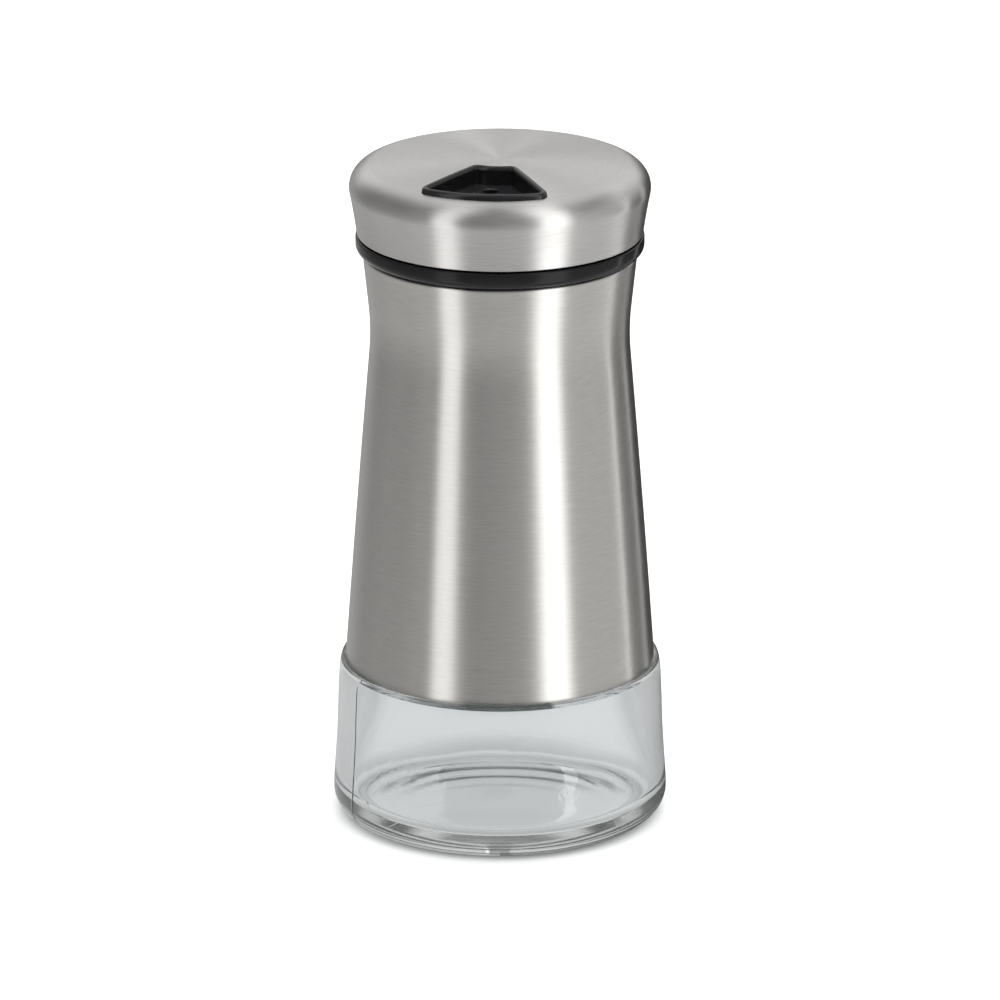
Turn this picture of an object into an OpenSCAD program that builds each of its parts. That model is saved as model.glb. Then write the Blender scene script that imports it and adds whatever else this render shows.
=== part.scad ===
// Spice shaker with a heavy glass jar, a steel sleeve and a screw lid with a turning dial.
// Millimetres, +Z up, origin at the middle of the ring that the jar stands on.
// The lid's window faces -Y, a few degrees towards -X, over the station with the large holes.

/* [Glass jar] */
// Largest radius of the glass foot, just above the heel
foot_r = 30.4; // [29.4:0.1:33]
// Height of the lip round the sleeve's lower edge
foot_h = 29.3; // [24:0.1:36]
// How much narrower the foot is at its lip than at its heel
foot_draw = 1.2; // [0.6:0.1:1.8]
// Rounding of the heel
heel_round = 4.1; // [3:0.1:5]
// Width of the flat ring that the jar stands on
bearing_w = 3.3; // [2:0.1:5]
// Height of the hollow under the jar at its middle
punt_depth = 1.6; // [1:0.1:2.4]
// Width of the curve from the ring up into the hollow
punt_curve = 12; // [6:0.5:16]
// Thickness of the lip outside the sleeve
lip_w = 0.75; // [0.5:0.05:1]
// Depth of the groove behind the lip
groove_depth = 1.2; // [0.8:0.1:2]
// Height of the inner floor above the table, at its edge
floor_z = 3.6; // [3.2:0.1:8]
// How much higher the inner floor is at its middle
floor_crown = 1.0; // [0.2:0.1:2]
// Rounding between the inner floor and the wall
floor_round = 3.2; // [2:0.1:5]
// Wall of the foot just above the inner floor
foot_wall = 3.4; // [3:0.1:5]
// Wall of the body behind the sleeve
wall_t = 3.0; // [2.4:0.1:3.4]
// Radius of the neck between the thread's turns
neck_r = 20.4; // [19.8:0.1:22]
// Wall of the neck
neck_wall = 3.0; // [2.4:0.1:3.4]
// Step from the neck out to the body
shoulder_w = 1.95; // [1.8:0.05:2.4]
// Rounding of the shoulder's edge
shoulder_round = 1.2; // [0.6:0.1:1.5]
// Rounding of the rim's two edges
rim_round = 0.8; // [0.4:0.1:1.1]
// Length of the curve from the body into the neck, inside the glass
neck_blend = 8; // [6:0.5:10]

/* [Steel sleeve] */
// Height of the sleeve
sleeve_h = 77.1; // [60:0.1:95]
// Thickness of the sleeve's sheet
sleeve_t = 0.5; // [0.4:0.05:0.8]
// Distance of the waist below the sleeve's upper edge
waist_drop = 14.2; // [10:0.1:20]
// Length of the curve on each side of the waist
waist_blend = 4.5; // [2:0.1:7]
// How much wider the upper edge is than the waist
sleeve_flare = 1.5; // [0.8:0.05:2]
// Swell of the cone between foot and waist
sleeve_belly = 0.12; // [0:0.02:0.4]

/* [Lid collar] */
// Depth of the thread
thread_depth = 1.4; // [1:0.1:1.5]
// Wall of the collar behind the thread
collar_t = 1.55; // [1.4:0.05:2]
// Height of the collar's visible ring
ring_h = 3.15; // [2.4:0.05:5]
// How far the ring stands out past the cap's lower edge
ring_proud = 0.2; // [0:0.05:0.5]
// Rounding under the ring
ring_round = 1.5; // [0.8:0.1:2]
// Rounding of the ring's upper edge
ring_top_round = 0.35; // [0.2:0.05:0.6]
// Thickness of the shelf that carries the sifter disc
shelf_t = 0.9; // [0.7:0.05:1.4]
// Width of the shelf
shelf_w = 3.5; // [2.6:0.1:4.2]
// Depth of the snap groove round the collar
snap_depth = 0.7; // [0.5:0.05:0.8]
// Height of the snap groove
snap_h = 1.6; // [1.2:0.1:2.2]
// Distance of the snap groove above the ring
snap_rise = 2.2; // [1.6:0.1:2.6]

/* [Neck seal] */
// Thickness of the seal
seal_t = 0.9; // [0.7:0.05:1.6]
// How far the seal reaches into the neck
seal_overhang = 0.4; // [0:0.1:0.8]

/* [Sifter disc] */
// Thickness of the disc
disc_t = 1.7; // [1.4:0.1:2.4]
// Width of the two keys on the disc's edge
key_w = 4; // [3:0.5:6]
// Length of the keys
key_l = 0.8; // [0.5:0.05:0.9]
// Radius of the large holes
large_hole_r = 1.4; // [0.9:0.05:1.5]
// Radius of the small holes
small_hole_r = 0.7; // [0.5:0.05:0.9]
// Width of the bevel round each hole
hole_bevel = 0.25; // [0.1:0.05:0.3]
// Radius of the first row of large holes
large_row_r = 11.9; // [11.4:0.05:12]
// Distance between rows of large holes
large_row_step = 3.4; // [3.3:0.05:3.5]
// Distance between neighbouring large holes in a row
large_hole_step = 4.4; // [3.8:0.1:5]
// Radius of the first row of small holes
small_row_r = 9.2; // [8.4:0.1:9.4]
// Distance between rows of small holes
small_row_step = 2.15; // [2:0.05:2.2]
// Distance between neighbouring small holes in a row
small_hole_step = 2.7; // [2.5:0.1:3]
// Inner radius of the pour opening
pour_inner_r = 8.4; // [7:0.1:10]
// Outer radius of the pour opening
pour_outer_r = 16.6; // [14:0.1:16.8]
// Angle that the pour opening spans
pour_angle = 50; // [35:1:56]

/* [Selector dial] */
// Wall of the dial's skirt at its lower edge
dial_t = 1.2; // [1:0.05:1.8]
// Thickness of the dial's plate at its middle
plate_t = 1.55; // [1.5:0.05:2.4]
// How far the snap bead stands in
bead_w = 0.65; // [0.5:0.05:0.75]
// Height of the snap bead
bead_h = 0.8; // [0.5:0.1:1]
// Inner radius of the window's frame
window_inner_r = 7; // [5.5:0.1:8.5]
// Outer radius of the window's frame
window_outer_r = 23.7; // [22:0.1:23.9]
// Half angle between the window's straight sides
window_half_angle = 29.5; // [24:0.5:32]
// How far behind the axis the two straight sides would meet
window_apex = 0.4; // [0:0.1:2]
// Rounding of the frame's corners
window_round = 1.8; // [1.4:0.1:2.2]
// Width of the frame
frame_w = 1.3; // [1:0.05:1.35]
// How far the frame stands out of the steel
frame_proud = 1.0; // [0.5:0.05:1.3]
// Turn of the window from -Y towards -X, in degrees
window_turn = 8; // [0:1:20]
// Depth of the pockets that the dial clicks into
click_depth = 0.7; // [0.5:0.05:0.8]
// Radius of the click nib
nib_r = 0.9; // [0.6:0.1:1.1]
// Height of the pockets' lower end above the snap groove
pocket_rise = 1.2; // [0.8:0.1:2]

/* [Steel cap] */
// Height of the cap
cap_h = 13.3; // [12.6:0.1:16]
// Thickness of the cap's sheet
cap_t = 0.5; // [0.4:0.05:0.7]
// How much wider the cap is at its crown than at its lower edge
cap_flare = 1.3; // [0.8:0.05:1.8]
// Rounding between the cap's side and top
cap_round = 4.1; // [3.4:0.1:4.6]
// Rise of the domed top above its edge
dome_rise = 0.8; // [0.5:0.05:1.1]
// Lean of the cap's side just under the crown, in degrees
crown_lean = 11.5; // [9:0.5:13]

/* [Pivot] */
// Radius of the hub that the dial turns on
hub_r = 3; // [2.6:0.1:3.6]
// Radius of the screw's shank
screw_r = 1.45; // [1.2:0.05:1.6]
// Thickness of the dial that is left above the screw's tip
screw_cover = 0.75; // [0.6:0.05:1.2]
// Radius of the screw's head
head_r = 2.8; // [2.4:0.1:3.2]
// Height of the screw's head
head_h = 1.8; // [1.4:0.1:2.2]
// Height of the rounded part of the screw's head
head_crown = 0.7; // [0.4:0.1:1]
// Radius of the washer
washer_r = 4.8; // [4.2:0.1:5.4]
// Thickness of the washer
washer_t = 0.6; // [0.4:0.05:0.9]

/* [Fits] */
// Gap between the crest of the jar's thread and the collar
thread_gap = 0.3; // [0.2:0.01:0.4]
// Gap between pieces that move past each other
run_gap = 0.3; // [0.25:0.01:0.35]
// Radial gap of the hub in the sifter disc
hub_gap = 0.06; // [0.03:0.01:0.1]
// Gap between pieces that are pressed or keyed together
press_gap = 0.05; // [0.03:0.01:0.1]
// Gap above and below the neck seal
seal_gap = 0.15; // [0.1:0.01:0.25]
// Gap between the sleeve and the glass
sleeve_gap = 0.3; // [0.2:0.01:0.4]
// Gap between the click nib and the collar's wall
nib_gap = 0.12; // [0.1:0.01:0.2]
// End play of the dial on the sifter disc
hub_play = 0.1; // [0.05:0.01:0.2]
// Room past the screw's tip
tip_gap = 0.2; // [0.1:0.05:0.3]

/* [Hidden] */
$fn = 96;

eps = 0.01;
arc_steps = 10;             // steps in a rounded edge
wide_steps = 6;             // steps in a shallow curve
stations = 4;               // large holes, small holes, pour opening and shut

// Radii, from the neck outwards
bore_r = neck_r + thread_depth + thread_gap;      // inside the collar
collar_r = bore_r + collar_t;                     // outside of the collar's wall
dial_bore_r = collar_r + run_gap;
cap_foot_r = dial_bore_r + dial_t + press_gap + cap_t;
crown_r = cap_foot_r + cap_flare;
ring_r = cap_foot_r + ring_proud;
body_r = neck_r + shoulder_w;                     // glass behind the waist
waist_r = body_r + sleeve_gap + sleeve_t;
sleeve_top_r = waist_r + sleeve_flare;
lip_r = foot_r - foot_draw;
sleeve_foot_r = lip_r - lip_w - sleeve_gap;

// Heights, from the table upwards
sleeve_z = foot_h - groove_depth + sleeve_gap;
sleeve_top_z = sleeve_z + sleeve_h;
waist_z = sleeve_top_z - waist_drop;
shoulder_z = sleeve_top_z;
ring_z = sleeve_top_z + run_gap;
ring_top_z = ring_z + ring_h;
cap_z = ring_top_z + run_gap;
apex_z = cap_z + cap_h;
crown_z = apex_z - dome_rise - cap_round;
plate_z = apex_z - cap_t - press_gap - plate_t;
deck_z = plate_z - run_gap;                       // upper face of the sifter disc
shelf_z = deck_z - disc_t - shelf_t;
rim_z = shelf_z - seal_t - 2 * seal_gap;
snap_z = ring_top_z + snap_rise;
hub_z = deck_z - disc_t - hub_play;               // the hub reaches just past the disc
pocket_z = snap_z + snap_h + pocket_rise;
tip_z = apex_z - cap_t - press_gap - screw_cover; // tip of the screw

function arc(cx, cz, r, from, to, n) =
    [for (i = [0:n]) let (a = from + (to - from) * i / n) [cx + r * cos(a), cz + r * sin(a)]];
function bezier(a, b, c, n) =
    [for (i = [0:n]) let (t = i / n) a * (1 - t) * (1 - t) + b * 2 * t * (1 - t) + c * t * t];
function flip(points) = [for (i = [len(points) - 1:-1:0]) points[i]];
function tail(points) = [for (i = [1:len(points) - 1]) points[i]];

// Outer curve of the sleeve, moved in by inset: cone, waist and flare, from foot to top
function cone_curve(inset) = let (
    foot = [sleeve_foot_r - inset, sleeve_z],
    waist = [waist_r - inset, waist_z],
    middle = (foot + waist) / 2 + [2 * sleeve_belly, 0],
    down = waist + (middle - waist) * waist_blend / norm(middle - waist))
    concat([for (p = bezier(foot, middle, waist, wide_steps)) if (p[1] < down[1]) p], [down]);
function waist_curve(inset) = let (
    cone = cone_curve(inset),
    down = cone[len(cone) - 1],
    waist = [waist_r - inset, waist_z],
    top = [sleeve_top_r - inset, sleeve_top_z],
    up = waist + (top - waist) * waist_blend / norm(top - waist))
    concat(cone, bezier(down, waist, up, wide_steps), [top]);

// Outer curve of the cap, moved in by inset, from the axis to the lower edge
function cap_curve(inset, end_z) = let (
    cx = crown_r - cap_round,
    rise = apex_z - crown_z,
    dome_r = (cx * cx + rise * rise - cap_round * cap_round) / (2 * (rise - cap_round)),
    tilt = asin(cx / (dome_r - cap_round)),
    dome = arc(0, apex_z - dome_r, dome_r - inset, 90, 90 - tilt, wide_steps),
    crown = arc(cx, crown_z, cap_round - inset, 90 - tilt, -crown_lean, arc_steps),
    edge = crown[len(crown) - 1],
    foot = [cap_foot_r - inset, end_z],
    fall = (edge[1] - end_z) / 2,
    bend = [edge[0] - tan(crown_lean) * fall, edge[1] - fall])
    concat(dome, tail(crown), tail(bezier(edge, bend, foot, wide_steps)));
module cap_solid(inset, end_z) rotate_extrude() polygon(concat(cap_curve(inset, end_z), [[0, end_z]]));

// Centre of the window's rounded corner at radius r, for a window with its middle on +X
function window_corner(r) = let (
    h = window_half_angle,
    x = window_round / sin(h) - window_apex,
    t = sqrt(r * r - pow(x * sin(h), 2)) - x * cos(h))
    [x + t * cos(h), t * sin(h)];

// The window's outline, grown by grow: part of a ring between two straight sides, with rounded corners
module window_outline(grow) {
    outer = window_corner(window_outer_r - window_round);
    inner = window_corner(window_inner_r + window_round);
    outer_turn = atan2(outer[1], outer[0]);
    inner_turn = atan2(inner[1], inner[0]);
    side_turn = 90 + window_half_angle;
    round_r = window_round + grow;
    half = concat(
        arc(0, 0, window_outer_r + grow, 0, outer_turn, wide_steps),
        tail(arc(outer[0], outer[1], round_r, outer_turn, side_turn, wide_steps)),
        arc(inner[0], inner[1], round_r, side_turn, 180 + inner_turn, wide_steps),
        tail(arc(0, 0, window_inner_r - grow, inner_turn, 0, wide_steps / 2)));
    polygon(concat(half, [for (p = flip(half)) if (p[1] > eps) [p[0], -p[1]]]));
}
module facing_window() rotate(-90 - window_turn) children();

module glass_jar() {
    cavity_foot_r = foot_r - foot_wall;
    floor_edge_r = cavity_foot_r - floor_round;
    floor_top_z = floor_z + floor_crown;
    neck_bore_r = neck_r - neck_wall;
    stand_r = foot_r - heel_round;
    hollow_r = stand_r - bearing_w;
    body = [for (p = cone_curve(sleeve_t + sleeve_gap)) if (p[1] > foot_h) p];
    inner = [for (p = body) p - [wall_t, 0]];
    outside = concat(
        arc(stand_r, heel_round, heel_round, -90, 0, arc_steps),
        arc(lip_r - lip_w, foot_h - lip_w, lip_w, 0, 90, arc_steps / 2),
        [[lip_r - lip_w, foot_h - groove_depth],
         [sleeve_foot_r - sleeve_t - sleeve_gap, foot_h - groove_depth]],
        body,
        arc(body_r - shoulder_round, shoulder_z - shoulder_round, shoulder_round, 0, 90, arc_steps / 2),
        [[neck_r, shoulder_z]],
        arc(neck_r - rim_round, rim_z - rim_round, rim_round, 0, 90, arc_steps / 2));
    inside = concat(
        arc(neck_bore_r + rim_round, rim_z - rim_round, rim_round, 90, 180, arc_steps / 2),
        bezier([neck_bore_r, shoulder_z], [neck_bore_r, shoulder_z - neck_blend / 2],
               [body_r - wall_t, shoulder_z - neck_blend], wide_steps),
        flip(inner),
        arc(floor_edge_r, floor_z + floor_round, floor_round, 0, -90, arc_steps),
        tail(bezier([floor_edge_r, floor_z], [floor_edge_r / 2, floor_top_z], [0, floor_top_z],
                    wide_steps)));
    underside = bezier([0, punt_depth], [hollow_r - punt_curve, punt_depth], [hollow_r, 0], wide_steps);
    color([0.85, 0.9, 0.88, 0.5]) rotate_extrude() polygon(concat(outside, inside, underside));
}

module steel_sleeve() {
    outer = waist_curve(0);
    inner = waist_curve(sleeve_t);
    turned_in = [[body_r + sleeve_gap, sleeve_top_z], [body_r + sleeve_gap, sleeve_top_z - sleeve_t]];
    wall = concat([for (p = inner) if (p[1] < sleeve_top_z - sleeve_t) p],
                  [[sleeve_top_r - sleeve_t, sleeve_top_z - sleeve_t]]);
    color([0.72, 0.71, 0.7]) rotate_extrude() polygon(concat(outer, turned_in, flip(wall)));
}

module neck_seal() {
    color([0.9, 0.9, 0.88]) translate([0, 0, rim_z + seal_gap]) difference() {
        cylinder(r = bore_r - run_gap, h = seal_t);
        translate([0, 0, -eps]) cylinder(r = neck_r - neck_wall - seal_overhang, h = seal_t + 2 * eps);
    }
}

// The disc's two keys, halfway between the pockets
module keys(gap, h) {
    for (side = [0, 180]) rotate(side + 180 / stations)
        translate([0, -key_w / 2 - gap, 0]) cube([bore_r + key_l + gap, key_w + 2 * gap, h]);
}

module threaded_collar() {
    color([0.08, 0.08, 0.08]) difference() {
        rotate_extrude() polygon(concat(
            [[bore_r - shelf_w, shelf_z], [bore_r, shelf_z], [bore_r, ring_z]],
            arc(ring_r - ring_round, ring_z + ring_round, ring_round, -90, 0, arc_steps),
            arc(ring_r - ring_top_round, ring_top_z - ring_top_round, ring_top_round, 0, 90, arc_steps / 2),
            [[collar_r, ring_top_z], [collar_r, snap_z], [collar_r - snap_depth, snap_z],
             [collar_r - snap_depth, snap_z + snap_h], [collar_r, snap_z + snap_h],
             [collar_r, deck_z], [bore_r, deck_z], [bore_r, shelf_z + shelf_t],
             [bore_r - shelf_w, shelf_z + shelf_t]]));
        facing_window() translate([0, 0, shelf_z + shelf_t]) keys(press_gap, disc_t + eps);
        facing_window() for (i = [0:stations - 1]) rotate(i * 360 / stations)
            translate([collar_r + nib_r + run_gap - click_depth, 0, pocket_z])
                cylinder(r = nib_r + run_gap, h = deck_z - pocket_z + eps);
    }
}

module hole(r) {
    translate([0, 0, -eps]) cylinder(r = r, h = disc_t + 2 * eps);
    translate([0, 0, disc_t - hole_bevel])
        cylinder(r1 = r, r2 = r + hole_bevel + eps, h = hole_bevel + eps);
}

// Rows of holes, each row with one hole more than the row inside it
module hole_fan(r, first_r, row_gap, hole_gap, first_count, rows) {
    for (row = [0:rows - 1]) {
        count = first_count + row;
        row_r = first_r + row * row_gap;
        for (i = [0:count - 1]) rotate((i - (count - 1) / 2) * hole_gap / row_r * 180 / PI)
            translate([row_r, 0, 0]) hole(r);
    }
}

module sifter_disc() {
    color([0.07, 0.07, 0.07]) facing_window() translate([0, 0, deck_z - disc_t]) difference() {
        union() {
            cylinder(r = bore_r - press_gap, h = disc_t);
            keys(0, disc_t);
        }
        translate([0, 0, -eps]) cylinder(r = hub_r + hub_gap, h = disc_t + 2 * eps);
        hole_fan(large_hole_r, large_row_r, large_row_step, large_hole_step, 1, 2);
        rotate(360 / stations) hole_fan(small_hole_r, small_row_r, small_row_step, small_hole_step, 2, 4);
        rotate(360 / stations * 2 - pour_angle / 2) translate([0, 0, -eps])
            rotate_extrude(angle = pour_angle)
                translate([pour_inner_r, 0]) square([pour_outer_r - pour_inner_r, disc_t + 2 * eps]);
    }
}

module selector_dial() {
    bead_z = snap_z + (snap_h - bead_h) / 2;
    skirt_z = cap_z + run_gap;
    nib_x = collar_r + nib_gap + nib_r;
    plate_h = apex_z - plate_z + frame_proud;
    color([0.05, 0.05, 0.05]) difference() {
        union() {
            rotate_extrude() polygon(concat(
                cap_curve(cap_t + press_gap, skirt_z),
                [[dial_bore_r, skirt_z], [dial_bore_r, bead_z], [dial_bore_r - bead_w, bead_z],
                 [dial_bore_r - bead_w, bead_z + bead_h], [dial_bore_r, bead_z + bead_h],
                 [dial_bore_r, plate_z], [0, plate_z]]));
            translate([0, 0, hub_z]) cylinder(r = hub_r, h = plate_z - hub_z + eps);
            facing_window() intersection() {
                translate([0, 0, plate_z]) linear_extrude(height = plate_h) window_outline(0);
                cap_solid(-frame_proud, cap_z);
            }
            facing_window() translate([0, 0, pocket_z + run_gap]) intersection() {
                translate([nib_x, 0, 0]) cylinder(r = nib_r, h = plate_z - pocket_z);
                cylinder(r = dial_bore_r + dial_t / 2, h = plate_z - pocket_z - run_gap / 2);
            }
        }
        facing_window() translate([0, 0, plate_z - eps])
            linear_extrude(height = plate_h + 2 * eps) window_outline(-frame_w);
        translate([0, 0, hub_z - eps]) cylinder(r = screw_r + press_gap, h = tip_z + tip_gap - hub_z + eps);
    }
}

module pivot_washer() {
    color([0.7, 0.7, 0.68]) translate([0, 0, hub_z - washer_t]) difference() {
        cylinder(r = washer_r, h = washer_t);
        translate([0, 0, -eps]) cylinder(r = screw_r + 2 * press_gap, h = washer_t + 2 * eps);
    }
}

module pivot_screw() {
    head_z = hub_z - washer_t - head_h;
    color([0.75, 0.75, 0.74]) rotate_extrude() polygon(concat(
        bezier([0, head_z], [head_r, head_z], [head_r, head_z + head_crown], wide_steps),
        [[head_r, head_z + head_h], [screw_r, head_z + head_h], [screw_r, tip_z - screw_r / 2],
         [screw_r / 2, tip_z], [0, tip_z]]));
}

module steel_cap() {
    color([0.75, 0.74, 0.73]) difference() {
        rotate_extrude() polygon(concat(cap_curve(0, cap_z), flip(cap_curve(cap_t, cap_z))));
        facing_window() translate([0, 0, plate_z])
            linear_extrude(height = cap_h) window_outline(press_gap);
    }
}

glass_jar();
steel_sleeve();
neck_seal();
threaded_collar();
sifter_disc();
selector_dial();
pivot_washer();
pivot_screw();
steel_cap();
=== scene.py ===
import math
import bmesh
import bpy
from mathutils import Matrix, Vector


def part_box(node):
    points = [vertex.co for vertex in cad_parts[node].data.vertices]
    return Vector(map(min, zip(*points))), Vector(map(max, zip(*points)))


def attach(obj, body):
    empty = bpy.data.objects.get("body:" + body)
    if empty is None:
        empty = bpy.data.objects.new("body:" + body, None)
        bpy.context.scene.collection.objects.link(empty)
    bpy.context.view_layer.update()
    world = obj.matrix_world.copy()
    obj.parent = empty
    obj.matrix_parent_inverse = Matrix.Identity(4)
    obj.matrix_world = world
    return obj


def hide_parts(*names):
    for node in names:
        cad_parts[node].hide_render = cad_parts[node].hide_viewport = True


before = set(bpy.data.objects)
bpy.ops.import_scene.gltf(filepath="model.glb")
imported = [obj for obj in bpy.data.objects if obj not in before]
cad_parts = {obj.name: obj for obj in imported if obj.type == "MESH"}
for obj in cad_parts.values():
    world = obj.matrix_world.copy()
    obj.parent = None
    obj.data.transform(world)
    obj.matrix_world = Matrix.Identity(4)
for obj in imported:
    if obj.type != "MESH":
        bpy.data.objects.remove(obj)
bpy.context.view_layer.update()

mm = 0.001
print("frame loaded:", ", ".join(sorted(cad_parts)))


def heights(node):  # the lowest and the highest point of a node of the frame, in mm
    low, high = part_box(node)
    return round(low[2] / mm, 2), round(high[2] / mm, 2)


sleeveFoot, sleeveTop = heights("steel_sleeve")
capFoot, capTop = heights("steel_cap")
collarFoot, collarTop = heights("threaded_collar")
screwLow, screwTip = heights("pivot_screw")
jarTop = heights("glass_jar")[1]
spare = 1.0  # mm that a cutter stands out of what it cuts


# The points of a profile are in mm, first the radius and then the height. The last number of a curve
# is how many steps it has.
def arcPoints(cx, cz, radius, start, end, count):
    turns = [math.radians(start + (end - start) * i / count) for i in range(count + 1)]
    return [(cx + radius * math.cos(a), cz + radius * math.sin(a)) for a in turns]


def bendPoints(a, b, c, count):  # a curve from a to c that leans towards b
    shares = [i / count for i in range(count + 1)]
    return [tuple(p * (1 - t) ** 2 + q * 2 * t * (1 - t) + r * t * t for p, q, r in zip(a, b, c))
            for t in shares]


def linePoints(a, b, count):
    return [tuple(p + (q - p) * i / count for p, q in zip(a, b)) for i in range(count + 1)]


def smoothBetween(p, q, r, s, t):  # from q to r, with the slopes that their neighbours give
    square = (2 * p - 5 * q + 4 * r - s) * t ** 2
    cube = (3 * q - p - 3 * r + s) * t ** 3
    return 0.5 * (2 * q + (r - p) * t + square + cube)


def smoothPoints(knots, count):  # one smooth curve through all the knots
    ends = [knots[0]] + list(knots) + [knots[-1]]
    points = []
    for near in zip(ends, ends[1:], ends[2:], ends[3:]):
        for i in range(count):
            points.append(tuple(smoothBetween(*axis, i / count) for axis in zip(*near)))
    return points + [tuple(knots[-1])]


samePoint = 1e-4   # mm, points nearer than this count as one
onFace = 0.01      # mm, how near a point has to be to a face to count as on it
threadFade = 0.8   # mm over which a thread rises at its start and sinks at its end


def joined(*stretches):  # stretches of a profile in a row, without the points that repeat
    points = []
    for stretch in stretches:
        for p in stretch:
            if not points or math.dist(p, points[-1]) > samePoint:
                points.append(p)
    return points


def limited(share):
    return max(0.0, min(1.0, share))


def runOut(z, start, end):  # how much of a thread stands at a height
    return limited((z - start) / threadFade) * limited((end - z) / threadFade)


# A node tree with its named inputs and outputs, for geometry or for a material
def makeTree(name, kind, inputs, outputs):
    tree = bpy.data.node_groups.new(name, kind)
    for label, socket, value in inputs:
        made = tree.interface.new_socket(label, in_out="INPUT", socket_type=socket)
        if value is not None:
            made.default_value = value
    for label, socket in outputs:
        tree.interface.new_socket(label, in_out="OUTPUT", socket_type=socket)
    return tree, tree.nodes.new("NodeGroupInput").outputs, tree.nodes.new("NodeGroupOutput").inputs


def addNode(tree, kind, settings=None, inputs=None):
    made = tree.nodes.new(kind)
    for key, value in (settings or {}).items():
        setattr(made, key, value)
    for key, value in (inputs or {}).items():
        if isinstance(value, bpy.types.NodeSocket):
            tree.links.new(value, made.inputs[key])
        else:
            made.inputs[key].default_value = value
    return made


def maths(tree, operation, *values):
    return addNode(tree, "ShaderNodeMath", {"operation": operation}, dict(enumerate(values))).outputs[0]


def product(tree, *values):
    total = values[0]
    for value in values[1:]:
        total = maths(tree, "MULTIPLY", total, value)
    return total


def ramp(tree, value, low, high, fromLow=0.0, fromHigh=1.0, kind="LINEAR"):
    return addNode(tree, "ShaderNodeMapRange", {"interpolation_type": kind}, {
        "Value": value, "From Min": fromLow, "From Max": fromHigh, "To Min": low, "To Max": high}).outputs[0]


def softRamp(tree, value, low, high, fromLow, fromHigh):
    return ramp(tree, value, low, high, fromLow, fromHigh, "SMOOTHSTEP")


def magnitude(tree, value):
    return maths(tree, "ABSOLUTE", value)


def splitPlace(tree, place):
    return addNode(tree, "ShaderNodeSeparateXYZ", None, {0: place}).outputs


def radiusOf(tree, x, y):
    return maths(tree, "SQRT", maths(tree, "ADD", product(tree, x, x), product(tree, y, y)))


def noiseAt(tree, place, scale, detail, roughness=0.5):
    return addNode(tree, "ShaderNodeTexNoise", None, {
        "Vector": place, "Scale": scale, "Detail": detail, "Roughness": roughness}).outputs[0]


def vectorMaths(tree, operation, inputs):
    return addNode(tree, "ShaderNodeVectorMath", {"operation": operation}, inputs).outputs[0]


def finishTree(tree, geometry, material, result):  # ends a tree with plain geometry in its material
    whole = addNode(tree, "GeometryNodeRealizeInstances", None, {0: geometry})
    dressed = addNode(tree, "GeometryNodeSetMaterial", None, {
        "Geometry": whole.outputs[0], "Material": material})
    tree.links.new(dressed.outputs[0], result[0])


def sweepAlong(tree, line, section):  # a section swept along a level line
    upright = addNode(tree, "GeometryNodeSetCurveNormal", {"mode": "Z_UP"}, {0: line.outputs[0]})
    return addNode(tree, "GeometryNodeCurveToMesh", None, {
        "Curve": upright.outputs[0], "Profile Curve": section.outputs[0]}).outputs[0]


weldGap = 2e-6              # metres, closes the sweep where it starts and at its poles
threadCrest = (0.07, 0.21)  # pitches from the middle of the crest: where it starts to fall, where it ends


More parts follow.
